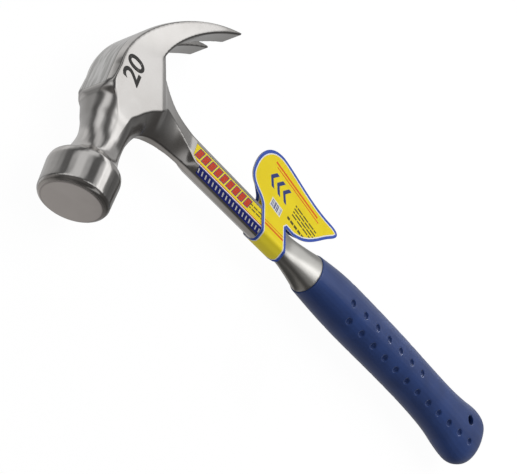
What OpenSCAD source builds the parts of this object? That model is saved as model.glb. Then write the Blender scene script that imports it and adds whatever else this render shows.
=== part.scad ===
// Curved claw hammer: one steel forging with a moulded grip, a shank label and a card hang tag.
// Lies on its side. +X runs along the handle to the butt, -Y to the striking face, +Z up.
// The origin is under the middle of the outline, on the surface that the hammer lies on.

/* [Head] */
// Diameter of the poll at its back rim
poll_d = 31.2; // [29:0.2:33]
// Diameter of the poll behind its chamfer
front_d = 30; // [28:0.5:32]
// Diameter of the ground striking face inside its chamfer
face_d = 25.6; // [24:0.2:26]
// Height of the crown of the striking face
face_crown = 0.35; // [0.1:0.05:0.6]
// Handle axis to the striking face
face_reach = 62; // [60:0.5:66]
// Length of the poll from its face to its back rim
poll_length = 18; // [16:0.5:20]
// Diameter of the neck behind the poll
neck_d = 16.4; // [16:0.2:18]
// Thickness across the flat cheeks
cheek_t = 21.6; // [21:0.2:22]
// Height of the top of the head above the poll axis
head_rise = 12; // [11.5:0.1:12.5]

/* [Claw] */
// Handle axis to the claw tips
claw_reach = 66.3; // [64:0.1:68]
// Drop of the claw tips below the poll axis
claw_drop = 39.7; // [37:0.1:41]
// Width across the claw tips
claw_w = 33; // [30:0.5:34]
// Width of the nail slot at the claw tips
slot_w = 9; // [7:0.5:10]
// Length of the nail slot
slot_length = 46; // [40:1:48]

/* [Shank] */
// Width of the shank
shank_w = 15.6; // [15:0.2:16.4]
// Thickness of the shank
shank_t = 10.6; // [10:0.2:11]
// Offset of the handle's middle to the claw side
handle_y = 1.4; // [0.8:0.1:2]
// Poll axis to the end of the bare steel
ferrule_x = 144.5; // [143:0.5:148]
// Poll axis to the end of the tang inside the grip
tang_x = 292; // [280:1:296]

/* [Grip] */
// Poll axis to the butt of the grip
butt_x = 329.2; // [327:0.2:335]
// Thickness of the grip in the hand
grip_t = 24; // [23:0.5:25]
// Diameter of the hang hole
hang_d = 5.8; // [5:0.2:6.4]
// Spacing of the dimples along the grip
dimple_pitch = 12.2; // [11.8:0.1:12.4]
// Diameter of a dimple at the surface
dimple_d = 4.4; // [3.6:0.2:4.8]

/* [Label and tag] */
// Thickness of the label
label_t = 0.15; // [0.1:0.05:0.2]
// Thickness of the tag's card
card_t = 0.4; // [0.3:0.05:0.5]
// Width of the tag's band along the shank
band_w = 20; // [18:1:24]

/* [Hidden] */
$fn = 64;

// Half sizes of the main sections
poll_r = poll_d / 2;
neck_r = neck_d / 2;
cheek = cheek_t / 2;
edge_y = shank_w / 2;
flat_z = shank_t / 2;
claw_z = claw_w / 2;

// Points on each rounded corner of a section, and rings between two key sections
corner_n = 8;
ring_n = 5;

// Puts the hammer frame, with its origin on the poll axis, into the part frame
module place() {
    translate([-(butt_x - poll_r) / 2, -(claw_reach - face_reach) / 2, claw_z]) children();
}

function mix(a, b, t) = a + (b - a) * t;
function ease(t) = t * t * (3 - 2 * t);
function bezier(p, t) =
    pow(1 - t, 3) * p[0] + 3 * t * pow(1 - t, 2) * p[1] + 3 * t * t * (1 - t) * p[2] + pow(t, 3) * p[3];

// A section is [low edge point, high edge point, half thickness, low corner cut, high corner cut, rounding].
// The edge points lie in the mid-plane. A corner cut is [along the section, across its thickness].
function corner(cut, s, roundness) =
    mix([cut[0] * s, cut[1] * s], [cut[0] * (1 - cos(90 * s)), cut[1] * sin(90 * s)], roundness);
function half_ring(section) =
    let (low = section[0], high = section[1], t = section[2], a = section[3], b = section[4],
         along = (high - low) / norm(high - low), length = norm(high - low), r = section[5])
    concat(
        [for (i = [0:corner_n]) let (c = corner(a, i / corner_n, r[0]))
            [each low + along * c[0], t - a[1] + c[1]]],
        [for (i = [corner_n:-1:0]) let (c = corner(b, i / corner_n, r[1]))
            [each low + along * (length - c[0]), t - b[1] + c[1]]]);
function ring(section) =
    let (upper = half_ring(section))
    concat(upper, [for (i = [len(upper) - 1:-1:0]) [upper[i][0], upper[i][1], -upper[i][2]]]);

// Skins a list of rings and caps both ends
module loft(sections) {
    rings = [for (s = sections) ring(s)];
    n = len(rings[0]);
    last = len(rings) - 1;
    polyhedron(
        points = [for (r = rings) each r],
        faces = concat(
            [[for (i = [n - 1:-1:0]) i]],
            [[for (i = [0:n - 1]) last * n + i]],
            [for (k = [0:last - 1]) for (i = [0:n - 1]) let (j = (i + 1) % n, a = k * n, b = a + n)
                each [[a + i, a + j, b + i], [a + j, b + j, b + i]]]),
        convexity = 6);
}

// Smooth run of sections through the key ones, which never overshoots two neighbours
function spline(a, b, c, d, t) =
    0.5 * (2 * b + (c - a) * t + (2 * a - 5 * b + 4 * c - d) * t * t + (3 * b - a - 3 * c + d) * t * t * t);
function held(b, c, v) = max(min(b, c), min(max(b, c), v));
function blend(a, b, c, d, t) =
    is_num(b) ? held(b, c, spline(a, b, c, d, t))
              : [for (i = [0:len(b) - 1]) blend(a[i], b[i], c[i], d[i], t)];
function through(keys) =
    let (last = len(keys) - 1)
    concat(
        [for (k = [0:last - 1]) for (i = [0:ring_n - 1])
            blend(keys[max(k - 1, 0)], keys[k], keys[k + 1], keys[min(k + 2, last)], i / ring_n)],
        [keys[last]]);

// Forging

// Poll: crowned face, chamfer, barrel and back rim
poll_rim = 14.2;
poll_back = face_reach - poll_length;
module poll() {
    face_r = face_d / 2;
    front_r = front_d / 2;
    crown = [for (i = [0:4]) [face_r * i / 4, face_reach - face_crown * pow(i / 4, 2)]];
    chamfer = [[front_r - 0.7, face_reach - 1.3], [front_r, face_reach - 2.6]];
    rim = [[poll_r, poll_back + 3.2], [poll_r - 0.4, poll_back + 1.2], [poll_rim, poll_back]];
    rotate([90, 0, 0])
        rotate_extrude()
            polygon(concat(crown, chamfer, rim, [[0, poll_back]]));
}

// Throat curves on the poll side and the claw side of the shank
throat_low = [[13.6, -21], [13.8, -13.5], [20, -7.2], [46, handle_y - edge_y]];
throat_high = [[5, 27], [11.5, 16], [21, 8.5], [48, handle_y + edge_y]];

// Neck, cheeks, throat and shank in one run of sections
thin = [2.4, flat_z - 1.6];
function low(t) = bezier(throat_low, t);
function high(t) = bezier(throat_high, t);
function shank(x) =
    [[x, handle_y - edge_y], [x, handle_y + edge_y], flat_z, thin, thin, [0.12, 0.12]];
function oval(low, high, z) =
    let (cut = [norm(high - low) / 2, z] * 0.97)
    [low, high, z, cut, cut, [1, 1]];
shank_keys = [
    oval([poll_rim - 0.2, -poll_back - 1], [0.2 - poll_rim, -poll_back - 1], poll_rim - 0.2),
    oval([13.7, 0.6 - poll_back], [-12.6, 0.8 - poll_back], 12.7),
    oval([12.9, -40.8], [-10.4, -40.4], 10.7),
    oval([12.1, -37], [-9, -36.4], 9.3),
    oval([11.6, -31.5], [-neck_r, -30.5], 8.7),
    [[11.9, -26.5], [-8.9, -23.5], 9.6, [9.3, 8.7], [8.6, 8.6], [0.75, 0.95]],
    [[12.7, -22.5], [-9.9, -18.5], cheek - 0.2, [9.6, 8.9], [7, 8.6], [0.5, 0.9]],
    [[13.7, -19], [-10.9, -13.5], cheek, [9.6, 8.9], [4.8, 7.8], [0.35, 0.8]],
    [low(0.3), [-head_rise, -8.6], cheek, [8.6, 8.7], [1.6, 3.8], [0.2, 0.3]],
    [low(0.42), [1 - head_rise, 6], cheek, [8.4, 8.6], [2, 4], [0.12, 0.15]],
    [low(0.55), high(0), cheek, [9.8, 8.5], [2, 2], [0.12, 0.15]],
    [low(0.7), high(0.3), 9.2, [13.5, 7.2], [2.4, 3], [0.12, 0.15]],
    [low(0.85), high(0.65), 6.8, [11.6, 5.2], [2.4, 3.4], [0.12, 0.12]],
    [[44, handle_y - edge_y], [40.5, handle_y + edge_y + 0.2], flat_z, [5.6, thin[1]], thin, [0.12, 0.12]],
    shank(51),
    shank(78),
    shank(105),
    [[122, handle_y - edge_y], [122, handle_y + edge_y], flat_z, [4, 4.6], [4, 4.6], [0.75, 0.75]],
    [[132, handle_y - 8.7], [132, handle_y + 8.9], 7.1, [6.6, 6.4], [6.6, 6.4], [0.9, 0.9]],
    oval([ferrule_x, handle_y - 11.2], [ferrule_x, handle_y + 11.2], 9.8)];

// Top panel and the two claws
top_line = [[-head_rise, 4], [-head_rise, 27], [12, 53], [claw_drop, claw_reach]];
under_line = [[9, 20], [9, 32], [17.5, 47], [claw_drop + 0.6, claw_reach - 0.9]];
claw_n = 30;
function claw(t) =
    [bezier(under_line, t), bezier(top_line, t), mix(cheek, claw_z, ease(min(1, t * 1.15))),
     [mix(1.4, 0.4, t), mix(1.4, 0.6, t)], [mix(1.6, 0.4, t), mix(3.8, 0.8, t)], [0.15, 0.15]];
function panel(y, cut) = [[9, y], [-head_rise, y], cheek, [1.4, 1.4], cut, [0.15, 0.15]];
// The panel's chamfer runs out to its front corners, which stand out as ears
ears = [panel(-9, [0.9, 2.3]), panel(-4, [1.3, 3.1]), panel(1, [1.6, 3.7])];

// The nail slot narrows from the tips to its root, square to the line between them
module nail_slot() {
    slope = atan2(claw_reach - 33, claw_drop - 4);
    translate([claw_drop, claw_reach, 0])
        rotate([0, 0, slope])
            rotate([90, 0, 0])
                linear_extrude(60, center = true)
                    polygon([[-slot_length, 0.4], [-slot_length, -0.4], [0, -slot_w / 2],
                        [12, -slot_w / 2], [12, slot_w / 2], [0, slot_w / 2]]);
}

// Tang inside the grip
function tang(x, y, z) = [[x, handle_y - y], [x, handle_y + y], z, [1.5, 1.5], [1.5, 1.5], [1, 1]];

module forged_head_and_shank() {
    color("silver") place() difference() {
        union() {
            poll();
            loft(through(shank_keys));
            loft(concat(ears, [for (i = [0:claw_n]) claw(i / claw_n)]));
            loft([tang(ferrule_x - 4, 7, 4.2), tang(tang_x, 4.5, 3)]);
        }
        nail_slot();
    }
}

// Grip

// A section of the grip leans where its low edge is nearer the head than its high edge
hand = grip_t / 2;
soft = 0.94;
function grip_section(x, low, high, half, lean = 0) =
    [[x - lean, handle_y - low], [x, handle_y + high], half,
     [low * soft, half * soft], [high * soft, half * soft], [1, 1]];
grip_keys = [
    grip_section(ferrule_x, 11.5, 11.5, 10.1),
    grip_section(ferrule_x + 20, 12.9, 14.2, hand - 0.6),
    grip_section(ferrule_x + 42, 14, 14.9, hand),
    grip_section(butt_x - 103.3, 14.5, 14.6, hand + 0.2),
    grip_section(butt_x - 71.3, 15.8, 13.2, hand + 0.2),
    grip_section(butt_x - 46.3, 18.5, 12.4, hand + 0.3, 1),
    grip_section(butt_x - 29.3, 22.6, 13.3, hand + 0.6, 2.5),
    grip_section(butt_x - 15.8, 24.4, 15, hand + 0.8, 4.2),
    grip_section(butt_x - 6.8, 22, 14.5, hand - 0.2, 4.6),
    grip_section(butt_x - 2.5, 18.2, 12, hand - 2, 4.4),
    grip_section(butt_x - 0.7, 13.6, 9, hand - 4.6, 4.2),
    grip_section(butt_x, 7.6, 4.8, hand - 8, 3.6)];

// Height of the grip's surface over a place on it
function grip_at(x) =
    let (last = len(grip_keys) - 1,
         k = max([for (i = [0:last - 1]) if (grip_keys[i][1][0] <= x) i]),
         t = (x - grip_keys[k][1][0]) / (grip_keys[k + 1][1][0] - grip_keys[k][1][0]))
    blend(grip_keys[max(k - 1, 0)], grip_keys[k], grip_keys[k + 1], grip_keys[min(k + 2, last)], t);
function grip_z(x, y) =
    let (section = grip_at(x), side = y < handle_y ? handle_y - section[0][1] : section[1][1] - handle_y,
         inward = min(1, (side - abs(y - handle_y)) / (side * soft)))
    section[2] * (1 - soft + soft * sqrt(1 - pow(1 - inward, 2)));

// Rows of dimples: [place of the first one across the grip, drift of the row, count, start].
// Past the eighth one they stand a little closer, where the grip flares to the butt.
dimple_x = 174.5;
dimple_rows = [[-8.8, -0.02, 12, 2], [-0.8, 0, 7, -1.8], [handle_y + 11, 0, 7, 0]];
dimple_closer = 0.7;
dimple_deep = 1.2;
dimple_r = (pow(dimple_d / 2, 2) + pow(dimple_deep, 2)) / (2 * dimple_deep);

module dimples() {
    for (row = dimple_rows, i = [0:row[2] - 1]) {
        x = dimple_x + row[3] + i * dimple_pitch - max(0, i - 7) * dimple_closer;
        y = row[0] + row[1] * (x - dimple_x);
        slope = (grip_z(x, y + 0.1) - grip_z(x, y - 0.1)) / 0.2;
        out = [0, -slope, 1] / norm([0, -slope, 1]);
        at = [x, y, grip_z(x, y)] + out * (dimple_r - dimple_deep);
        for (side = [-1, 1])
            translate([at[0], at[1], side * at[2]]) sphere(dimple_r);
    }
}

hang_x = butt_x - 25.2;
hang_y = 0.4;

module grip() {
    color("mediumblue") place() difference() {
        loft(through(grip_keys));
        loft([tang(ferrule_x - 4, 7, 4.2), tang(tang_x, 4.5, 3)]);
        translate([hang_x, hang_y, 0]) cylinder(h = 60, d = hang_d, center = true);
        dimples();
    }
}

// Label: a film on the shank's upper flat that wraps over the chamfer on the poll side, down to label_z
flat_y = edge_y - thin[0];
label_x = [45.5, 104];
label_y = handle_y + flat_y - 0.2;
label_z = 2.6;
module label_plan() {
    polygon([[label_x[0], label_y], [label_x[0], handle_y - 2.7], [label_x[0] + 5.5, handle_y - flat_y],
        [label_x[0] + 7, handle_y - edge_y], [label_x[1], handle_y - edge_y], [label_x[1], label_y]]);
}
module shank_label() {
    section = [for (p = ring(shank(0))) [p[1], p[2]]];
    color("gold") place() intersection() {
        rotate([90, 0, 90]) linear_extrude(label_x[1]) difference() {
            offset(delta = label_t) polygon(section);
            polygon(section);
            translate([-20, label_z - 20]) square([40, 20]);
        }
        linear_extrude(20) label_plan();
    }
}

// Hang tag: a folded card, with a band round the shank and two glued leaves on the claw side.
// The upper leaf runs on level from the shank's upper flat, and the lower one rises to it.
band_x = 95;
gap = 0.35; // between the card and the shank
leaf_y = 13; // where the two leaves meet
leaf_z = flat_z + gap;
module band_outline(grow) {
    translate([handle_y, 0])
        offset(delta = grow)
            polygon([[leaf_y - handle_y, leaf_z], [-flat_y - gap, leaf_z], [-edge_y - gap, 1.8],
                [-edge_y - gap, -1.8], [-flat_y - gap, -leaf_z], [flat_y + gap, -leaf_z],
                [edge_y + gap, -1.8]]);
}

// The band leans towards the butt from the leaves to the fold
band_lean = 6.3;
module band_plan() {
    fold = handle_y - edge_y - 2;
    high = handle_y + flat_y;
    translate([band_x, 0])
        polygon([[0, leaf_y + 2], [0, high], [band_lean, fold], [band_w + band_lean, fold],
            [band_w, high], [band_w, leaf_y + 2]]);
}

// Plain leaf, measured from the band: a round end on the head side that narrows to a tail
leaf_curves = [
    [[0, 7], [-2, 12], [-12.5, 11.5], [-12.3, 21]],
    [[-12.3, 21], [-12.1, 32], [-5, 41.5], [6, 41]],
    [[6, 41], [18, 39.5], [33, 33], [51, 33]],
    [[51, 33], [61, 33], [61, 30], [54, 25]],
    [[54, 25], [46, 19], [39, 9], [26, 7.2]]];
leaf_n = 10;
module leaf(low_y) {
    linear_extrude(card_t) translate([band_x, 0]) difference() {
        polygon([for (c = leaf_curves) for (i = [0:leaf_n - 1]) bezier(c, i / leaf_n)]);
        translate([-50, low_y - 20]) square([150, 20]);
    }
}
module hang_tag() {
    color("yellow") place() {
        intersection() {
            translate([band_x - 5, 0, 0]) rotate([90, 0, 90]) linear_extrude(band_w + 15) difference() {
                band_outline(card_t);
                band_outline(0);
            }
            linear_extrude(40, center = true) band_plan();
        }
        translate([0, 0, leaf_z]) leaf(handle_y + flat_y);
        translate([0, 0, leaf_z - card_t]) leaf(leaf_y);
    }
}

forged_head_and_shank();
grip();
shank_label();
hang_tag();
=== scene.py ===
# Curved claw hammer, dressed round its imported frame
import math

import bpy
import numpy as np
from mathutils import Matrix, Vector


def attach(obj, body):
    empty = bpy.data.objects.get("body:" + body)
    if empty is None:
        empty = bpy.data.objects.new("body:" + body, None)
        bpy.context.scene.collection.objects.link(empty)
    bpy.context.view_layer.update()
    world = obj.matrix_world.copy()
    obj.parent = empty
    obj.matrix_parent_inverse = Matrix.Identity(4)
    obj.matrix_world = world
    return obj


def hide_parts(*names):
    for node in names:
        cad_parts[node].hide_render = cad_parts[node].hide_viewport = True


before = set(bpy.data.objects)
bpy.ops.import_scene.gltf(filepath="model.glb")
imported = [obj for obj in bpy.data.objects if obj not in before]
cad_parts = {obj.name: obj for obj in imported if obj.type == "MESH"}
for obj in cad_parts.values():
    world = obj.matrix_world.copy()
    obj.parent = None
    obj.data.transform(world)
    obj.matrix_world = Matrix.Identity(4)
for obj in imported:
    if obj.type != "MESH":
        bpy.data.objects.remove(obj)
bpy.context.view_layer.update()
mm = 0.001
pollAxis = Vector((-156.8, -2.15, 16.5)) * mm  # the poll axis in the handle's mid-plane
handleY = 1.4  # the handle's middle, in mm from the poll axis
print("frame loaded:", ", ".join(sorted(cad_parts)))


# Small helpers for modelling by hand

sameSpot = 0.002 * mm  # corners of a solid's loose triangles that are one corner
leastShare = 0.04      # of the smoothing, on a real edge
blendRounds = 2        # that take the steps out of the shares


def makeActive(obj):
    if bpy.context.object and bpy.context.object.mode != "OBJECT":
        bpy.ops.object.mode_set(mode="OBJECT")
    bpy.ops.object.select_all(action="DESELECT")
    obj.select_set(True)
    bpy.context.view_layer.objects.active = obj


def startEdit(obj):
    makeActive(obj)
    bpy.ops.object.mode_set(mode="EDIT")
    bpy.ops.mesh.select_mode(type="FACE")
    bpy.ops.mesh.select_all(action="DESELECT")


def endEdit():
    bpy.ops.object.mode_set(mode="OBJECT")


def pickFaces(obj, test):
    startEdit(obj)
    endEdit()
    for face in obj.data.polygons:
        face.select = test(face.center, face.normal)
    bpy.ops.object.mode_set(mode="EDIT")


def applied(obj, kind, **settings):
    makeActive(obj)
    modifier = obj.modifiers.new(kind.lower(), kind)
    for key, value in settings.items():
        setattr(modifier, key, value)
    bpy.ops.object.modifier_apply(modifier=modifier.name)


def copyOfNode(node, name):
    piece = bpy.data.objects.new(name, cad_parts[node].data.copy())
    bpy.context.scene.collection.objects.link(piece)
    piece.data.materials.clear()
    startEdit(piece)
    bpy.ops.mesh.select_all(action="SELECT")
    bpy.ops.mesh.remove_doubles(threshold=sameSpot)
    endEdit()
    return piece


def headPlaces(piece):
    # x, y and z of the vertices in mm from the poll axis
    places = np.empty(len(piece.data.vertices) * 3)
    piece.data.vertices.foreach_get("co", places)
    return (places.reshape(-1, 3) - np.array(pollAxis)).T / mm


def normalsAndEdges(piece):
    mesh = piece.data
    normals = np.empty(len(mesh.vertices) * 3)
    edges = np.empty(len(mesh.edges) * 2, int)
    mesh.vertices.foreach_get("normal", normals)
    mesh.edges.foreach_get("vertices", edges)
    return normals.reshape(-1, 3), edges.reshape(-1, 2)


def neighbourMean(values, edges):
    total = values.copy()
    count = np.ones(len(values))
    for a, b in ((0, 1), (1, 0)):
        np.add.at(total, edges[:, a], values[edges[:, b]])
        np.add.at(count, edges[:, a], 1)
    return total / count[:, None]


def ramp(values, low, high):
    return np.clip((values - low) / (high - low), 0, 1)


def weigh(piece, name, weights):
    group = piece.vertex_groups.new(name=name)
    for i, weight in enumerate(weights):
        group.add([i], float(weight), "REPLACE")


def weightsToAttribute(piece, name):
    # A vertex group becomes an attribute that a material can read
    index = piece.vertex_groups[name].index
    values = np.zeros(len(piece.data.vertices))
    for vertex in piece.data.vertices:
        for entry in vertex.groups:
            if entry.group == index:
                values[vertex.index] = entry.weight
    piece.vertex_groups.clear()
    piece.data.attributes.new(name, "FLOAT", "POINT").data.foreach_set("value", values)


def soften(piece, rounds, where):
    # Rounds a region, with weights from its place
    weigh(piece, "soften", where(*headPlaces(piece)))
    applied(piece, "SMOOTH", factor=0.5, iterations=rounds, vertex_group="soften")
    piece.vertex_groups.remove(piece.vertex_groups["soften"])


def evenOut(piece, spread, rounds, keep, edge=None):
    # Smooths the facets away and leaves the real edges, where the normals of a neighbourhood disagree
    mean, edges = normalsAndEdges(piece)
    for _ in range(spread):
        mean = neighbourMean(mean, edges)
    agree = np.linalg.norm(mean, axis=1)
    share = np.clip((agree - keep[0]) / (keep[1] - keep[0]), leastShare, 1)
    if edge:
        share[edge(*headPlaces(piece))] = leastShare
    for _ in range(blendRounds):
        share = neighbourMean(share[:, None], edges)[:, 0]
    weigh(piece, "evenOut", share)
    applied(piece, "SMOOTH", factor=0.5, iterations=rounds, vertex_group="evenOut")


def hollows(piece, spread, depth):
    # How far each vertex lies under the mean of its surroundings, as a share of depth
    normals, edges = normalsAndEdges(piece)
    places = headPlaces(piece).T
    mean = places
    for _ in range(spread):
        mean = neighbourMean(mean, edges)
    return np.clip(((mean - places) * normals).sum(axis=1) / depth, 0, 1)


def lighten(piece, most):
    # Fewer triangles where the surface is flat
    piece.data.calc_loop_triangles()
    count = len(piece.data.loop_triangles)
    if count > most:
        applied(piece, "DECIMATE", ratio=most / count)


def shadeSmooth(piece, degrees=180):
    makeActive(piece)
    bpy.ops.object.shade_smooth_by_angle(angle=math.radians(degrees))


def placeIn(piece, place):
    makeActive(piece)
    piece.location = place
    bpy.ops.object.transform_apply(location=True, rotation=True, scale=True)


# Materials: a wire is one socket's output, and sums on wires add their own nodes

toneSpan = (0.3, 0.7)  # of a noise, from one tone to the other
crispSpan = (0.35, 0.65)


class Wire:
    def __init__(self, tree, socket=None):
        self.tree = tree
        self.socket = socket

    def node(self, kind, settings=None, inputs=None, out=0):
        made = self.tree.nodes.new(kind)
        for key, value in (settings or {}).items():
            if key == "stops":
                elements = made.color_ramp.elements
                while len(elements) < len(value):
                    elements.new(0.5)
                for element, (place, colour) in zip(elements, value):
                    element.position = place
                    element.color = (*colour, 1)
            else:
                setattr(made, key, value)
        for key, value in (inputs or {}).items():
            if isinstance(value, Wire):
                self.tree.links.new(value.socket, made.inputs[key])
            else:
                made.inputs[key].default_value = value
        return Wire(self.tree, made.outputs[out])

    def maths(self, operation, a, b=0.0):
        return self.node("ShaderNodeMath", {"operation": operation}, {0: a, 1: b})

    def __add__(self, other):
        return self.maths("ADD", self, other)

    def __radd__(self, other):
        return self.maths("ADD", other, self)

    def __sub__(self, other):
        return self.maths("SUBTRACT", self, other)

    def __rsub__(self, other):
        return self.maths("SUBTRACT", other, self)

    def __mul__(self, other):
        return self.maths("MULTIPLY", self, other)

    def __rmul__(self, other):
        return self.maths("MULTIPLY", other, self)

    def __truediv__(self, other):
        return self.maths("DIVIDE", self, other)

    def __rtruediv__(self, other):
        return self.maths("DIVIDE", other, self)

    def __mod__(self, other):
        return self.maths("FLOORED_MODULO", self, other)

    def __abs__(self):
        return self.maths("ABSOLUTE", self)

    def __and__(self, other):
        return self.maths("MINIMUM", self, other)

    def __or__(self, other):
        return self.maths("MAXIMUM", self, other)

    def parts(self, vector, count=3):
        return [self.node("ShaderNodeSeparateXYZ", {}, {0: vector}, out=i) for i in range(count)]

    def step(self, low, high):
        # 0 below low and 1 above high, smooth between
        return self.node("ShaderNodeMapRange", {"interpolation_type": "SMOOTHSTEP"},
                         {"Value": self, "From Min": low, "From Max": high})

    def inside(self, half, soft):
        # 1 within half of zero on either side
        return 1 - abs(self).step(half - soft, half + soft)

    def bar(self, u, v, middle, half, soft=0.06):
        # a rectangle's mask in the plane of u and v
        reach = (abs(u - middle[0]) - half[0]) | (abs(v - middle[1]) - half[1])
        return 1 - reach.step(-soft, soft)

    def mixed(self, a, b):
        return self.node("ShaderNodeMix", {"data_type": "RGBA"}, {0: self, 6: a, 7: b}, out=2)

    def noise(self, at, scale, detail=3.0, stretch=(1, 1, 1)):
        stretched = self.node("ShaderNodeMapping", {}, {"Vector": at, "Scale": stretch})
        return self.node("ShaderNodeTexNoise", {},
                         {"Vector": stretched, "Scale": scale, "Detail": detail})

    def attribute(self, name):
        return self.node("ShaderNodeAttribute", {"attribute_name": name}, out=2)


def newMaterial(name):
    material = bpy.data.materials.new(name)
    material.use_nodes = True
    tree = material.node_tree
    tree.nodes.clear()
    shader = tree.nodes.new("ShaderNodeBsdfPrincipled")
    output = tree.nodes.new("ShaderNodeOutputMaterial")
    tree.links.new(shader.outputs[0], output.inputs[0])
    wire = Wire(tree)
    place = wire.node("ShaderNodeTexCoord", out=3)
    return material, shader, wire, place


def feed(shader, **inputs):
    for key, value in inputs.items():
        target = shader.inputs[key.replace("_", " ")]
        if isinstance(value, Wire):
            value.tree.links.new(value.socket, target)
        else:
            target.default_value = value


def hammerPlace(wire, place):
    # position in mm from the poll axis
    return [part / mm - axis / mm for part, axis in zip(wire.parts(place), pollAxis)]


def bumped(wire, height, strength, distance):
    return wire.node("ShaderNodeBump", {},
                     {"Strength": strength, "Distance": distance, "Height": height})


def summed(base, masks, shares):
    # a base value with a share of each mask added
    for key, share in shares.items():
        base = masks[key] * share + base
    return base


# Camera, floor and lights

openSpread = 180  # degrees, of a light with no honeycomb

studio = dict(
    cameraPlace=(-0.34461, -0.28002, 0.30863),
    cameraTurn=(17.072, -51.937, 21.823),  # degrees
    lens=71.92,
    sensor=36,
    clipStart=0.01,
    floorSide=12.0,
    floorColour=(0.025, 0.025, 0.025, 1),
    floorRough=0.9,
    floorGlow=0.97,
    # a dark card beside the ferrule, by its corners in mm from the poll axis
    flagFrom=(122, -75),
    flagTo=(152, -10),
    flagColour=(0.01, 0.01, 0.01, 1),
    flagTint=(1, 0.98, 0.95, 1),
    flagGlow=0.07,
    # name, aim in mm from the poll axis, azimuth from +X, elevation, distance, size, power, spread
    softboxes=[
        ("keyLight", (97, 2, 4), 60, 62, 1.5, (1.3, 1.3), 15.7, openSpread),
        ("fillLight", (97, 2, 4), -95, 10, 1.2, (1.4, 0.6), 3.8, openSpread),
    ],
    # the same for strips with a honeycomb, which only reflections see
    strips=[
        ("ferruleStrip", (131, -3, 6), -8, 66, 0.06, (0.066, 0.024), 0.0015, 70),
        ("gripStrip", (258, 0, 12), 84, 30, 0.09, (0.126, 0.05), 0.017, 46),
    ],
)


def makeCamera():
    bpy.ops.object.camera_add(location=studio["cameraPlace"],
                              rotation=[math.radians(a) for a in studio["cameraTurn"]])
    camera = bpy.context.object
    camera.name = "photoCamera"
    camera.data.lens = studio["lens"]
    camera.data.sensor_width = studio["sensor"]
    camera.data.clip_start = studio["clipStart"]
    bpy.context.scene.camera = camera


def makeFloor():
    bpy.ops.mesh.primitive_plane_add(size=studio["floorSide"])
    floor = bpy.context.object
    floor.name = "floor"
    material, shader, *_ = newMaterial("paleFloor")
    feed(shader, Base_Color=studio["floorColour"], Roughness=studio["floorRough"],
         Emission_Color=(1, 1, 1, 1), Emission_Strength=studio["floorGlow"])
    floor.data.materials.append(material)
    floor.visible_glossy = False  # the steel mirrors the room instead
    floor.visible_diffuse = False
    floor.visible_shadow = False


def makeFlag():
    (x0, y0), (x1, y1) = studio["flagFrom"], studio["flagTo"]
    bpy.ops.mesh.primitive_plane_add(size=1)
    flag = bpy.context.object
    flag.name = "flag"
    flag.scale = ((x1 - x0) * mm, (y1 - y0) * mm, 1)
    placeIn(flag, (pollAxis.x + (x0 + x1) / 2 * mm, pollAxis.y + (y0 + y1) / 2 * mm, 0))
    material, shader, *_ = newMaterial("darkCard")
    feed(shader, Base_Color=studio["flagColour"], Roughness=1.0, Specular_IOR_Level=0.0,
         Emission_Color=studio["flagTint"], Emission_Strength=studio["flagGlow"])
    flag.data.materials.append(material)
    flag.visible_camera = False  # only reflections see it
    flag.visible_diffuse = False
    flag.visible_shadow = False


def makeLights():
    lights = studio["softboxes"] + studio["strips"]
    for name, aim, azimuth, elevation, distance, size, power, spread in lights:
        a, e = math.radians(azimuth), math.radians(elevation)
        towards = Vector((math.cos(a) * math.cos(e), math.sin(a) * math.cos(e), math.sin(e)))
        bpy.ops.object.light_add(type="AREA", location=pollAxis + Vector(aim) * mm + towards * distance)
        light = bpy.context.object
        light.name = name
        light.rotation_euler = towards.to_track_quat("Z", "Y").to_euler()
        light.data.shape = "RECTANGLE"
        light.data.size, light.data.size_y = size
        light.data.energy = power
        light.data.spread = math.radians(spread)
        light.visible_camera = False
        light.visible_glossy = spread < openSpread  # the room holds the rest of what the steel mirrors
        light.visible_diffuse = spread == openSpread
    print("camera, floor and", len(lights), "lights placed")


fullTurn = 360  # degrees

room = dict(
    # brightness by the angle round the poll's axis, in degrees up from the butt: strip lights and dark gaps
    clawSide=[(0, 0.16), (24, 0.11), (36, 0.15), (46, 0.30), (50, 0.55), (52.5, 1.16), (56, 1.12),
              (61, 1.0), (66, 1.4), (72, 1.2), (78, 0.55), (85, 0.18), (92, 0.11), (106, 0.10),
              (116, 0.33), (128, 0.64), (142, 0.68), (154, 0.60), (164, 0.34), (173, 0.09), (182, 0.11),
              (190, 0.16), (200, 0.30), (214, 0.52), (237, 0.60), (275, 0.62), (300, 0.46), (330, 0.26),
              (345, 0.18), (360, 0.16)],
    faceSide=[(0, 0.07), (30, 0.06), (60, 0.09), (90, 0.13), (130, 0.07), (165, 0.22), (200, 0.34),
              (280, 0.42), (306, 0.42), (322, 0.22), (350, 0.08), (360, 0.07)],
    clawTint=(1, 1, 1),
    faceTint=(1.0, 0.965, 0.935),
    turn=(-0.1, 0.3),     # where one side gives way to the other, from the face to the claws
    overFrom=(65, 95),    # where the strips over the head begin and end
    overTo=(230, 310),
    overHead=0.15,        # how much further those strips reach to the face
    lean=65,              # degrees that they swing over per unit along the poll's axis
    leanFrom=0.5,
    # soft patches: middle and half width in degrees, middle and half length along the axis, brightness added
    patches=[(350, 60, 0.80, 0.20, 0.25),
             (55, 8, 0.39, 0.12, 0.22),
             (162, 20, 0.14, 0.26, 0.20),
             (82, 7, 0.22, 0.14, -0.30),
             (212, 14, 0.70, 0.12, 0.14),
             (250, 48, 0.36, 0.18, -0.20),
             (63, 12, -0.60, 0.33, 0.34)],
    patchEdge=(0.6, 1.2),
    seen=(0.97, 0.97, 0.97, 1),
)


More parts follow.
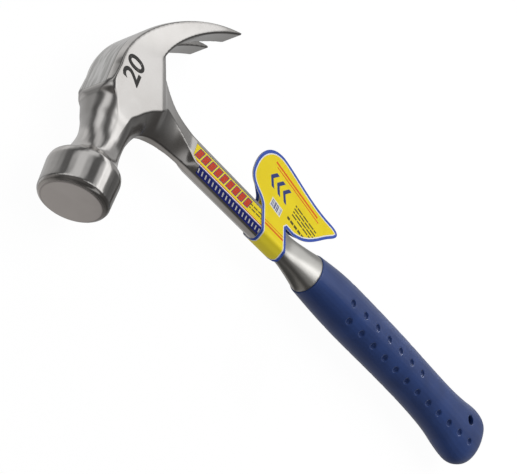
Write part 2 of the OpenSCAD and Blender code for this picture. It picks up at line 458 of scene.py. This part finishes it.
def makeRoom():
    # Strip lights as the steel mirrors them; the camera itself sees plain white
    world = bpy.data.worlds.new("studioRoom")
    bpy.context.scene.world = world
    world.use_nodes = True
    tree = world.node_tree
    tree.nodes.clear()
    wire = Wire(tree)
    x, y, z = wire.parts(wire.node("ShaderNodeTexCoord", out=0))
    plain = (wire.maths("ARCTAN2", z, x) / (2 * math.pi)) % 1.0
    begin, end = ([angle / fullTurn for angle in room[key]] for key in ("overFrom", "overTo"))
    overHead = plain.step(*begin) - plain.step(*end)
    around = plain - overHead * (room["leanFrom"] - y) * (room["lean"] / fullTurn)
    sides = []
    for side in ("face", "claw"):
        stops = [(angle / fullTurn, [shade * tint for tint in room[side + "Tint"]])
                 for angle, shade in room[side + "Side"]]
        sides.append(wire.node("ShaderNodeValToRGB", {"stops": stops}, {0: around}))
    shade = (y + overHead * room["overHead"]).step(*room["turn"]).mixed(*sides)
    for angle, width, middle, length, added in room["patches"]:
        off = abs((plain - (angle / fullTurn - 0.5)) % 1.0 - 0.5) * (fullTurn / width)
        away = abs(y - middle) / length
        patch = (1 - off.step(*room["patchEdge"])) * (1 - away.step(*room["patchEdge"]))
        way = "ADD" if added > 0 else "SUBTRACT"
        shade = wire.node("ShaderNodeMix", {"data_type": "RGBA", "blend_type": way},
                          {0: patch, 6: shade, 7: (abs(added), abs(added), abs(added), 1)}, out=2)
    seen = wire.node("ShaderNodeLightPath", out=0)
    colour = seen.mixed(shade, room["seen"])
    light = wire.node("ShaderNodeBackground", {}, {0: colour, 1: 1.0})
    output = tree.nodes.new("ShaderNodeOutputWorld")
    tree.links.new(light.socket, output.inputs[0])
    bpy.context.scene.view_settings.view_transform = "Standard"
    print("room light set")


makeCamera()
makeFloor()
makeFlag()
makeLights()
makeRoom()


# Steel forging

forgedSteel = dict(
    voxel=0.36 * mm,
    most=190000,               # triangles
    ferruleEnd=pollAxis.x + 144.5 * mm,  # where the bare steel meets the grip
    cap=0.1 * mm,              # the ferrule's last slice, cut off flat and closed again
    facing=0.9,                # least x of a normal that faces the butt
    tenon=4 * mm,              # plain steel that goes on under the grip
    tenonScale=0.984,
    spread=5,
    rounds=18,
    keep=(0.985, 0.9945),
    # regions to keep or round, in mm from the poll axis
    panelFront=(-10.0, -9.0),  # highest x and the y of the ground panel's front edge
    panelEdge=0.5,
    ferruleIn=(104, 112),      # where the ferrule's rounding begins and ends
    ferruleOut=(143.5, 140),
    ferruleRounds=120,
    panelCorner=(-10.4, -9.0, 9.3),  # on both sides
    cornerReach=(3.6, 1.6),
    cornerRounds=40,
    look=dict(
        # where each finish gives way, in mm from the poll axis
        face=(-61.5, -61.1),     # ground striking face
        barrel=(-45.5, -43.0),   # turned poll
        ferrule=(108.0, 122.0),  # duller flare by the grip
        panelX=(-9.4, -8.4),     # ground top
        panelY=(-9.3, -8.9),
        panelZ=(7.05, 0.15),     # half its width, and its soft edge
        shadeLineX=(-9.0, -8.0),      # painted shade: a dark line beside the ground top
        shadeLineY=(-8.9, -8.5),
        shadeLineZ=7.1,
        shadeLineWidth=(0.2, 0.1),    # the same
        edge=(0.35, 0.95),       # of the smoothing that an edge was spared, where the edges get painted shade
        # noise: scale, detail and stretch
        grain=(900, 2, (1.0, 0.12, 1.0)),
        rings=(2600, 2, (0.02, 1.0, 0.02)),
        scratch=(420, 3, (0.6, 0.18, 1.6)),
        cloud=(55, 3),
        # dark and pale tone of each finish
        bodyTone=((0.61, 0.59, 0.57, 1), (0.69, 0.672, 0.655, 1)),
        ferruleTone=((0.46, 0.455, 0.43, 1), (0.54, 0.53, 0.505, 1)),
        faceTone=((0.69, 0.66, 0.645, 1), (0.75, 0.72, 0.705, 1)),
        groundTone=((0.52, 0.515, 0.50, 1), (0.80, 0.79, 0.78, 1)),
        # colour and share of the painted shade line beside the ground top
        shadeLineTone=(0.12, 0.115, 0.11, 1),
        shadeLineShare=0.6,
        # painted shade on the sharp edges: its colour and share
        edgeShadeTone=(0.16, 0.155, 0.15, 1),
        edgeShadeShare=0.4,
        rough=0.14,
        roughAdded=dict(cloud=0.08, panel=0.12, face=0.3, ferrule=0.14, barrel=-0.04),
        grainHeight=0.5,
        ringHeight=0.4,
        scratchHeight=1.5,
        bump=(0.08, 0.02 * mm),
    ),
)


def steelMaterial():
    look = forgedSteel["look"]
    material, shader, wire, place = newMaterial("polishedSteel")
    x, y, z = hammerPlace(wire, place)
    face = 1 - y.step(*look["face"])
    barrel = 1 - y.step(*look["barrel"])
    ferrule = x.step(*look["ferrule"])
    panel = (1 - x.step(*look["panelX"])) & z.inside(*look["panelZ"]) & y.step(*look["panelY"])
    # painted shade: a dark line along the ground top's edges
    shadeLine = (abs(z) - look["shadeLineZ"]).inside(*look["shadeLineWidth"]) & (1 - x.step(*look["shadeLineX"]))
    shadeLine = shadeLine & y.step(*look["shadeLineY"])
    edge = (1 - wire.attribute("evenOut")).step(*look["edge"])
    grain, rings, scratch, cloud = (wire.noise(place, *look[key])
                                    for key in ("grain", "rings", "scratch", "cloud"))
    tone = cloud.step(*toneSpan)
    colour = ferrule.mixed(tone.mixed(*look["bodyTone"]), tone.mixed(*look["ferruleTone"]))
    colour = face.mixed(colour, cloud.step(*crispSpan).mixed(*look["faceTone"]))
    colour = panel.mixed(colour, scratch.step(*crispSpan).mixed(*look["groundTone"]))
    colour = (shadeLine * look["shadeLineShare"]).mixed(colour, look["shadeLineTone"])
    # painted shade: the sharp edges are darkened in the colour
    colour = (edge * look["edgeShadeShare"]).mixed(colour, look["edgeShadeTone"])
    masks = dict(cloud=cloud, panel=panel, face=face, ferrule=ferrule, barrel=barrel)
    rough = summed(look["rough"], masks, look["roughAdded"])
    height = grain * (1 - barrel) * look["grainHeight"] + rings * barrel * look["ringHeight"]
    height = height + scratch * panel * look["scratchHeight"]
    feed(shader, Base_Color=colour, Metallic=1.0, Roughness=rough,
         Normal=bumped(wire, height, *look["bump"]))
    return material


def addTenon(piece):
    # The ferrule is cut off flat, and plain steel goes on from it under the grip
    end, cap, scale = forgedSteel["ferruleEnd"], forgedSteel["cap"], forgedSteel["tenonScale"]
    startEdit(piece)
    bpy.ops.mesh.select_all(action="SELECT")
    bpy.ops.mesh.bisect(plane_co=(end - cap, 0, 0), plane_no=(1, 0, 0), use_fill=True, clear_outer=True)
    endEdit()
    pickFaces(piece, lambda centre, normal: centre.x > end - 1.5 * cap and normal.x > forgedSteel["facing"])
    bpy.ops.mesh.extrude_region_move(TRANSFORM_OT_translate={"value": (cap, 0, 0)})
    middle = (end, pollAxis.y + handleY * mm, pollAxis.z)
    bpy.ops.transform.resize(value=(1, scale, scale), center_override=middle)
    bpy.ops.mesh.extrude_region_move(TRANSFORM_OT_translate={"value": (forgedSteel["tenon"], 0, 0)})
    endEdit()


def panelFrontEdge(x, y, z):
    highest, front = forgedSteel["panelFront"]
    return (np.abs(y - front) < forgedSteel["panelEdge"]) & (x < highest)


def ferruleShare(x, y, z):
    return ramp(x, *forgedSteel["ferruleIn"]) * ramp(x, *forgedSteel["ferruleOut"])


def panelCornerShare(x, y, z):
    spot = forgedSteel["panelCorner"]
    away = np.linalg.norm([x - spot[0], y - spot[1], np.abs(z) - spot[2]], axis=0)
    return ramp(away, *forgedSteel["cornerReach"])


def makeForging():
    piece = copyOfNode("forged_head_and_shank", "forged_steel")
    addTenon(piece)
    applied(piece, "REMESH", mode="VOXEL", voxel_size=forgedSteel["voxel"], adaptivity=0)
    evenOut(piece, forgedSteel["spread"], forgedSteel["rounds"], forgedSteel["keep"], panelFrontEdge)
    soften(piece, forgedSteel["ferruleRounds"], ferruleShare)
    soften(piece, forgedSteel["cornerRounds"], panelCornerShare)
    lighten(piece, forgedSteel["most"])
    weightsToAttribute(piece, "evenOut")
    shadeSmooth(piece)
    piece.data.materials.append(steelMaterial())
    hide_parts("forged_head_and_shank")
    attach(piece, "hammer")
    print("forging:", len(piece.data.polygons), "faces")
    return piece


forging = makeForging()


# Weight mark on the near cheek

weightMark = dict(
    figures="20",
    size=13.4 * mm,
    fatter=0.26 * mm,
    corner=(0.7, -3.2, 14.0),  # lower left of the figures, in mm from the poll axis
    turn=90,                   # degrees
    lift=0.01 * mm,
    film=0.04 * mm,
    edgeAngle=30,              # degrees, above which an edge stays sharp
    look=dict(
        grain=(900, 3),        # noise: scale and detail
        wear=(0.6, 0.72),      # of that noise
        ink=(0.022, 0.021, 0.02, 1),
        wornInk=(0.16, 0.155, 0.15, 1),
        rough=0.5,
        wornRough=0.15,        # added
    ),
)


def markMaterial():
    look = weightMark["look"]
    material, shader, wire, place = newMaterial("stampInk")
    worn = wire.noise(place, *look["grain"]).step(*look["wear"])
    feed(shader, Base_Color=worn.mixed(look["ink"], look["wornInk"]),
         Roughness=look["rough"] + worn * look["wornRough"])
    return material


def makeMark():
    bpy.ops.object.text_add()
    mark = bpy.context.object
    mark.name = "weight_mark"
    mark.data.body = weightMark["figures"]
    mark.data.size = weightMark["size"]
    mark.data.offset = weightMark["fatter"]
    makeActive(mark)
    bpy.ops.object.convert(target="MESH")
    mark = bpy.context.object
    mark.rotation_euler = (0, 0, math.radians(weightMark["turn"]))
    placeIn(mark, pollAxis + Vector(weightMark["corner"]) * mm)
    applied(mark, "SHRINKWRAP", target=forging, wrap_method="PROJECT", use_project_z=True,
            use_negative_direction=True, use_positive_direction=False, offset=weightMark["lift"])
    applied(mark, "SOLIDIFY", thickness=weightMark["film"], offset=1)
    shadeSmooth(mark, weightMark["edgeAngle"])
    mark.data.materials.append(markMaterial())
    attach(mark, "hammer")
    print("weight mark placed")


makeMark()


# Moulded grip

vinylGrip = dict(
    voxel=0.36 * mm,
    most=190000,            # triangles
    boreTop=4.6 * mm,       # the tang's room, from the handle's middle
    boreSide=7.4 * mm,
    boreStart=forgedSteel["ferruleEnd"] + 0.01 * mm,
    boreEnd=pollAxis.x + 292.5 * mm,
    spread=5,
    rounds=18,
    keep=(0.98, 0.9945),
    rim=(146.5, 145.2),     # where the rim is rounded, in mm from the poll axis
    rimRounds=10,
    hollowSpread=14,
    hollowDepth=0.10,       # mm
    press=0.25 * mm,        # how much deeper the dimples are pressed
    hangHole=(304.0, 0.4),  # its axis, in mm from the poll axis
    holeClear=(5.0, 7.0),
    look=dict(
        # noise: scale, detail and stretch
        cloud=(70, 3),
        fine=(2200, 2),
        streak=(260, 3, (0.12, 1.0, 1.0)),
        streakShare=0.3,    # of the tone, and the cloud has the rest
        blue=((0.011, 0.036, 0.150, 1), (0.015, 0.048, 0.195, 1)),
        # painted shade: a darker blue in the dimples, and its share
        hollowShadeBlue=(0.003, 0.012, 0.070, 1),
        hollowShadeShare=0.25,
        rough=0.29,
        roughAdded=dict(streak=0.1, fine=0.06, hollow=0.1),
        specular=0.5,
        sheen=0.28,
        sheenRough=0.45,
        bump=(0.12, 0.03 * mm),
    ),
)


def vinylMaterial():
    look = vinylGrip["look"]
    material, shader, wire, place = newMaterial("satinVinyl")
    cloud, fine, streak = (wire.noise(place, *look[key]) for key in ("cloud", "fine", "streak"))
    hollow = wire.attribute("hollow")
    tone = cloud * (1 - look["streakShare"]) + streak * look["streakShare"]
    colour = tone.step(*toneSpan).mixed(*look["blue"])
    # painted shade: the dimples are darkened in the colour
    colour = (hollow * look["hollowShadeShare"]).mixed(colour, look["hollowShadeBlue"])
    rough = summed(look["rough"], dict(streak=streak, fine=fine, hollow=hollow), look["roughAdded"])
    feed(shader, Base_Color=colour, Roughness=rough, Specular_IOR_Level=look["specular"],
         Sheen_Weight=look["sheen"], Sheen_Roughness=look["sheenRough"],
         Normal=bumped(wire, fine, *look["bump"]))
    return material


def inBore(centre, normal):
    along = vinylGrip["boreStart"] < centre.x < vinylGrip["boreEnd"]
    high = abs(centre.z - pollAxis.z) < vinylGrip["boreTop"]
    return along and high and abs(centre.y - pollAxis.y - handleY * mm) < vinylGrip["boreSide"]


def closeBore(piece):
    # The tang's room is filled, because the forging ends just inside the rim
    pickFaces(piece, inBore)
    bpy.ops.mesh.delete(type="FACE")
    bpy.ops.mesh.select_mode(type="EDGE")
    bpy.ops.mesh.select_all(action="DESELECT")
    bpy.ops.mesh.select_non_manifold(extend=False, use_wire=False, use_multi_face=False,
                                     use_non_contiguous=False, use_verts=False)
    bpy.ops.mesh.edge_face_add()
    endEdit()


def pressDimples(piece):
    x, y, z = headPlaces(piece)
    fromHole = np.hypot(x - vinylGrip["hangHole"][0], y - vinylGrip["hangHole"][1])
    dimples = hollows(piece, vinylGrip["hollowSpread"], vinylGrip["hollowDepth"])
    weigh(piece, "hollow", dimples * ramp(fromHole, *vinylGrip["holeClear"]))
    applied(piece, "DISPLACE", strength=-vinylGrip["press"], mid_level=0, vertex_group="hollow")


def makeGrip():
    piece = copyOfNode("grip", "vinyl_grip")
    closeBore(piece)
    applied(piece, "REMESH", mode="VOXEL", voxel_size=vinylGrip["voxel"], adaptivity=0)
    evenOut(piece, vinylGrip["spread"], vinylGrip["rounds"], vinylGrip["keep"])
    soften(piece, vinylGrip["rimRounds"], lambda x, y, z: ramp(x, *vinylGrip["rim"]))
    pressDimples(piece)
    lighten(piece, vinylGrip["most"])
    weightsToAttribute(piece, "hollow")
    shadeSmooth(piece)
    piece.data.materials.append(vinylMaterial())
    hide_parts("grip")
    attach(piece, "hammer")
    print("grip:", len(piece.data.polygons), "faces")


makeGrip()


# Printing inks and marks that the tag and the label share

inks = dict(
    yellow=((0.85, 0.66, 0.004, 1), (0.90, 0.72, 0.008, 1)),
    # painted light: a paler yellow that lightens the band by the fold
    foldLightYellow=(1.0, 0.84, 0.05, 1),
    blue=((0.035, 0.085, 0.42, 1), (0.045, 0.10, 0.47, 1)),
    white=((0.80, 0.80, 0.78, 1), (0.86, 0.86, 0.84, 1)),
    orange=(0.78, 0.13, 0.004, 1),
    navy=(0.025, 0.045, 0.20, 1),
    umber=(0.10, 0.085, 0.012, 1),
    red=(0.55, 0.045, 0.010, 1),
    deepBlue=(0.022, 0.030, 0.22, 1),
)
softInk = 0.1         # mm either way, over which a printed edge fades
crispInk = 0.05
dashGap = (0.5, 0.7)  # mm between dashes, with its soft end
rowShift = 2.7        # mm from one row of dashes to the next


def dashes(wire, along, across, rows, pitch, thick, length):
    # rows of dashes, each row set off from the last
    row = wire.maths("FLOOR", across / pitch + 0.5)
    stroke = (along + row * rowShift) % length
    inRow = (across - row * pitch).inside(thick / 2, softInk)
    inRows = (row - (rows - 1) / 2).inside(rows / 2, crispInk)
    return inRow & inRows & stroke.step(*dashGap)


# Hang tag: one card folded round the shank, with its two leaves glued together on the claw side

hangTag = dict(
    card=0.38,       # its thickness; this and the rest in mm
    bandX=95.0,      # the band's head side on the upper flat
    bandWidth=20.0,
    bandTop=6.8,     # where the band widens into the leaf
    lean=6.3,        # of the band towards the butt, at the fold
    meet=13.0,       # where the lower leaf reaches the upper one
    # the card's line in the shank's cross-section, from the handle's middle
    line=[(60.0, 5.85), (-5.86, 5.85), (-8.35, 1.86), (-8.35, -1.86), (-5.86, -5.85), (5.86, -5.85),
          (8.36, -1.87), (11.75, 5.45), (60.0, 5.45)],
    lineStep=0.05,
    level=0.2,       # how far under its end the line counts as the lower leaf
    bend=2.2,        # length of card that takes up each bend
    # the leaf's outline from the band, as curves with their pulling points
    leaf=[[(0.0, 7.0), (-2.0, 12.0), (-12.5, 11.5), (-12.3, 21.0)],
          [(-12.3, 21.0), (-12.1, 32.0), (-5.0, 41.5), (6.0, 41.0)],
          [(6.0, 41.0), (18.0, 39.5), (33.0, 33.0), (51.0, 33.0)],
          [(51.0, 33.0), (61.0, 33.0), (61.0, 30.0), (54.0, 25.0)],
          [(54.0, 25.0), (46.0, 19.0), (39.0, 9.0), (26.0, 7.2)]],
    notch=(20.6, 7.5),  # where the leaf comes back to the band
    curveSteps=14,
    inset=0.3,       # one step of the border
    borderSteps=5,
    lineSteps=2,
    cut=0.55,        # between the cuts that let the card bend
    cutPast=2.0,     # how far they go on past the bends
    edgeAngle=35,    # degrees, above which an edge stays sharp
    unit=100,        # mm to one unit of the card's own map
    look=dict(
        fibre=(1400, 2),  # noise: scale and detail
        cloud=(60, 2),
        rough=0.42,
        fibreRough=0.08,  # added
        specular=0.3,
        bump=(0.05, 0.02 * mm),
    ),
    # places in mm on the flat card; a bar is its middle and half its size
    design=dict(
        pale=(2, 10),     # where the painted light, a paler yellow by the fold, ends
        tilt=-9,          # degrees, of the leaf's design
        stripes=[((14, 45.3), (20, 0.6)), ((16, 43.4), (20, 0.35))],
        chevronRow=36,
        chevronHalf=4.6,
        chevronSlope=0.7,
        chevronPitch=5.6,
        chevronShift=13,
        chevronThick=1.2,
        chevronSpan=(1, 8.35),
        dashRow=31,
        dashRows=(4, 2.1, 0.95, 5.3),  # rows, pitch, thickness and length
        dashSpan=(27, 10),
        bold=((24, 27), (9.2, 0.8)),
        boldPitch=3.4,
        boldGap=(0.55, 0.75),
        block=((5.6, 24.6), (4.6, 2.6)),
        strokes=((5.6, 24.6), (4.1, 2.1)),
        strokeNoise=(1.9, 1),
        strokeEdge=(0.49, 0.51),
        bandLines=[((13, 12.4), (30, 0.22)), ((13, 10.8), (30, 0.5))],
    ),
)


def tagLine():
    # the card's line by distance from the fold: negative over the shank, positive under it
    corners = np.array(hangTag["line"])
    run = np.concatenate([[0], np.cumsum(np.linalg.norm(np.diff(corners, axis=0), axis=1))])
    at = np.arange(0, run[-1], hangTag["lineStep"])
    points = np.stack([np.interp(at, run, corners[:, k]) for k in (0, 1)], axis=1)
    window = np.ones(int(hangTag["bend"] / hangTag["lineStep"]))
    window /= len(window)
    soft = points.copy()
    for k in (0, 1):
        edge = len(window)
        soft[edge:-edge, k] = np.convolve(points[:, k], window, "same")[edge:-edge]
    clawSide = soft[:, 0] > 0
    fold = int(np.argmin(np.where(clawSide, np.inf, np.abs(soft[:, 1]))))
    run = np.concatenate([[0], np.cumsum(np.linalg.norm(np.diff(soft, axis=0), axis=1))])
    return run - run[fold], soft[:, 0] + handleY, soft[:, 1]


def upperRun(line, y):
    run, lineY, _ = line
    over = run < 0
    return float(np.interp(-y, -lineY[over], run[over]))


def lowerRun(line, y):
    run, lineY, lineZ = line
    under = (run > 0) & (lineZ > hangTag["line"][-1][1] - hangTag["level"])
    return float(np.interp(hangTag["meet"], lineY[under], run[under])) + y - hangTag["meet"]


def leafPoints():
    points = []
    for curve in hangTag["leaf"]:
        a, b, c, d = (np.array(p) for p in curve)
        for i in range(hangTag["curveSteps"]):
            t = i / hangTag["curveSteps"]
            points.append((1 - t) ** 3 * a + 3 * t * (1 - t) ** 2 * b + 3 * t * t * (1 - t) * c + t ** 3 * d)
    return points + [np.array(hangTag["leaf"][-1][-1]), np.array(hangTag["notch"])]


def cardOutline(line):
    # upper leaf, band round the fold and lower leaf
    width, lean, top = hangTag["bandWidth"], hangTag["lean"], hangTag["bandTop"]
    leaf = leafPoints()
    outline = [(x, upperRun(line, y)) for x, y in leaf]
    outline += [(width, upperRun(line, top)), (width + lean, 0.0), (width, lowerRun(line, top))]
    return outline + [(x, lowerRun(line, y)) for x, y in reversed(leaf)] + [(lean, 0.0)]


def cardPlace(wire):
    # place on the flat card, in mm from the band's head side and from the fold
    flat = wire.node("ShaderNodeUVMap", {"uv_map": "flatCard"})
    return [part * hangTag["unit"] for part in wire.parts(flat, 2)]


def tagPrint(wire, cloud):
    design = hangTag["design"]
    p, s = cardPlace(wire)
    q = abs(s)
    tilt = math.radians(design["tilt"])
    along = p * math.cos(tilt) + q * math.sin(tilt)
    across = q * math.cos(tilt) - p * math.sin(tilt)
    # painted light: the band is paler yellow near the fold
    colour = (1 - q.step(*design["pale"])).mixed(cloud.mixed(*inks["yellow"]), inks["foldLightYellow"])
    for stripe in design["stripes"]:
        colour = wire.bar(along, across, *stripe).mixed(colour, inks["orange"])
    fromRow = across - design["chevronRow"]
    arm = along - abs(fromRow) * design["chevronSlope"]
    inPitch = (arm + design["chevronShift"]) % design["chevronPitch"] - design["chevronPitch"] / 2
    chevrons = inPitch.inside(design["chevronThick"], softInk)
    chevrons = chevrons & fromRow.inside(design["chevronHalf"], softInk)
    middle, half = design["chevronSpan"]
    colour = (chevrons & (arm - middle).inside(half, crispInk)).mixed(colour, inks["navy"])
    middle, half = design["dashSpan"]
    small = dashes(wire, along, across - design["dashRow"], *design["dashRows"])
    colour = (small & (along - middle).inside(half, softInk)).mixed(colour, inks["umber"])
    bold = wire.bar(along, across, *design["bold"]) & (along % design["boldPitch"]).step(*design["boldGap"])
    colour = bold.mixed(colour, inks["umber"])
    colour = wire.bar(along, across, *design["block"]).mixed(colour, inks["white"][0])
    alongOnly = wire.node("ShaderNodeCombineXYZ", {}, {0: along})
    stroke = wire.noise(alongOnly, *design["strokeNoise"]).step(*design["strokeEdge"])
    colour = (wire.bar(along, across, *design["strokes"]) & stroke).mixed(colour, inks["navy"])
    for line in design["bandLines"]:
        colour = wire.bar(p, q, *line).mixed(colour, inks["orange"])
    return colour


def borderPrint(wire, cloud):
    return cloud.mixed(*inks["blue"])


def linePrint(wire, cloud):
    return cloud.mixed(*inks["white"])


def cardMaterial(name, draw):
    look = hangTag["look"]
    material, shader, wire, place = newMaterial(name)
    fibre, cloud = (wire.noise(place, *look[key]) for key in ("fibre", "cloud"))
    feed(shader, Base_Color=draw(wire, cloud.step(*toneSpan)), Specular_IOR_Level=look["specular"],
         Roughness=look["rough"] + fibre * look["fibreRough"], Normal=bumped(wire, fibre, *look["bump"]))
    return material


def makeBlank(line):
    # The flat card with its materials
    outline = cardOutline(line)
    mesh = bpy.data.meshes.new("hang_tag_card")
    mesh.from_pydata([(x * mm, s * mm, 0) for x, s in outline], [], [range(len(outline))])
    tag = bpy.data.objects.new("hang_tag_card", mesh)
    bpy.context.scene.collection.objects.link(tag)
    for name, draw in (("yellowCard", tagPrint), ("blueBorder", borderPrint), ("whiteLine", linePrint)):
        mesh.materials.append(cardMaterial(name, draw))
    return tag


def addBorder(tag):
    # Thin steps, so that the tail's tip doesn't fold over itself
    for slot in [1] * hangTag["borderSteps"] + [2] * hangTag["lineSteps"]:
        startEdit(tag)
        endEdit()
        inner = max(tag.data.polygons, key=lambda face: face.area)
        inner.select = True
        inner.material_index = slot
        bpy.ops.object.mode_set(mode="EDIT")
        bpy.ops.mesh.inset(thickness=hangTag["inset"] * mm, use_even_offset=True)
        tag.active_material_index = 0
        bpy.ops.object.material_slot_assign()
        bpy.ops.mesh.remove_doubles(threshold=hangTag["inset"] / 2 * mm)
        endEdit()


def cutForBends(tag, line):
    startEdit(tag)
    at = upperRun(line, hangTag["bandTop"] + hangTag["cutPast"])
    while at < lowerRun(line, hangTag["meet"]) + hangTag["cutPast"]:
        bpy.ops.mesh.select_all(action="SELECT")
        bpy.ops.mesh.bisect(plane_co=(0, at * mm, 0), plane_no=(0, 1, 0))
        at += hangTag["cut"]
    endEdit()


def mapFlat(tag):
    flat = tag.data.uv_layers.new(name="flatCard")
    for loop in tag.data.loops:
        x, s, _ = tag.data.vertices[loop.vertex_index].co / mm
        flat.data[loop.index].uv = (x / hangTag["unit"], s / hangTag["unit"])


def bendRoundShank(tag, line):
    run, lineY, lineZ = line
    slopeY, slopeZ = np.gradient(lineY, run), np.gradient(lineZ, run)
    for vertex in tag.data.vertices:
        s = vertex.co.y / mm
        y, z, dy, dz = (np.interp(s, run, values) for values in (lineY, lineZ, slopeY, slopeZ))
        thick = vertex.co.z / math.hypot(dy, dz)
        vertex.co = (vertex.co.x + hangTag["bandX"] * mm, y * mm - thick * dz, z * mm + thick * dy)
    startEdit(tag)
    bpy.ops.mesh.select_all(action="SELECT")
    bpy.ops.mesh.normals_make_consistent(inside=False)
    endEdit()


def makeTag():
    line = tagLine()
    tag = makeBlank(line)
    addBorder(tag)
    applied(tag, "SOLIDIFY", thickness=hangTag["card"] * mm, offset=0, material_offset_rim=1)
    cutForBends(tag, line)
    mapFlat(tag)
    bendRoundShank(tag, line)
    placeIn(tag, pollAxis)
    shadeSmooth(tag, hangTag["edgeAngle"])
    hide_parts("hang_tag")
    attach(tag, "tag")
    tag.visible_glossy = False  # kept out of the steel's reflections
    print("hang tag:", len(tag.data.polygons), "faces")


makeTag()


# Label on the shank

shankLabel = dict(
    cloud=(60, 2),                # noise: scale and detail
    rough=0.28,
    cloudRough=0.04,              # added
    specular=0.3,
    # places in mm from the poll axis; a bar is its middle and half its size
    slant=0.45,
    bars=((66.7, 1.5), (20.7, 2.8)),
    cores=((66.7, 1.5), (20.7, 2.4)),
    barPitch=4.6,
    barHalf=1.9,
    coreHalf=1.55,
    dashRow=0.5,
    dashRows=(2, 2.0, 0.8, 3.7),  # rows, pitch, thickness and length
    dashSpan=((94, 1.5), (6.5, 3)),
    redBelow=(-2.5, -2.4),
    whiteBelow=(-3.0, -2.9),
    blueBelow=(-3.5, -3.4),
    tickPitch=2.6,
    tickSlope=1.1,
    tickGap=(0.85, 0.95),
    tickRow=(-5.0, 0.55),
    navyAbove=(4.95, 5.05),
    clearAbove=(5.2, 5.3),        # the film's clear edge, with the steel showing through
    clearTone=(0.40, 0.39, 0.38, 1),
)


def labelMaterial():
    design = shankLabel
    material, shader, wire, place = newMaterial("printedFilm")
    x, y, z = hammerPlace(wire, place)
    cloud = wire.noise(place, *design["cloud"]).step(*toneSpan)
    colour = cloud.mixed(*inks["yellow"])
    slant = x - y * design["slant"]
    inPitch = slant % design["barPitch"] - design["barPitch"] / 2
    bars = wire.bar(slant, y, *design["bars"], crispInk) & inPitch.inside(design["barHalf"], crispInk)
    cores = wire.bar(slant, y, *design["cores"], crispInk) & inPitch.inside(design["coreHalf"], crispInk)
    colour = cores.mixed(bars.mixed(colour, inks["navy"]), inks["red"])
    small = dashes(wire, x, y - design["dashRow"], *design["dashRows"])
    colour = (small & wire.bar(x, y, *design["dashSpan"])).mixed(colour, inks["umber"])
    tick = abs((x + y * design["tickSlope"]) % design["tickPitch"] - design["tickPitch"] / 2)
    row, half = design["tickRow"]
    ticks = tick.step(*design["tickGap"]) & (y - row).inside(half, crispInk)
    colour = (1 - y.step(*design["redBelow"])).mixed(colour, inks["red"])
    colour = (1 - y.step(*design["whiteBelow"])).mixed(colour, inks["white"][0])
    ticked = ticks.mixed(inks["deepBlue"], inks["white"][0])
    colour = (1 - y.step(*design["blueBelow"])).mixed(colour, ticked)
    colour = y.step(*design["navyAbove"]).mixed(colour, inks["navy"])
    clear = y.step(*design["clearAbove"])
    colour = clear.mixed(colour, design["clearTone"])
    feed(shader, Base_Color=colour, Metallic=clear, Specular_IOR_Level=design["specular"],
         Roughness=design["rough"] + cloud * design["cloudRough"])
    return material


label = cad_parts["shank_label"]
label.data.materials.clear()
label.data.materials.append(labelMaterial())
label.visible_glossy = False  # kept out of the steel's reflections
print("label printed")
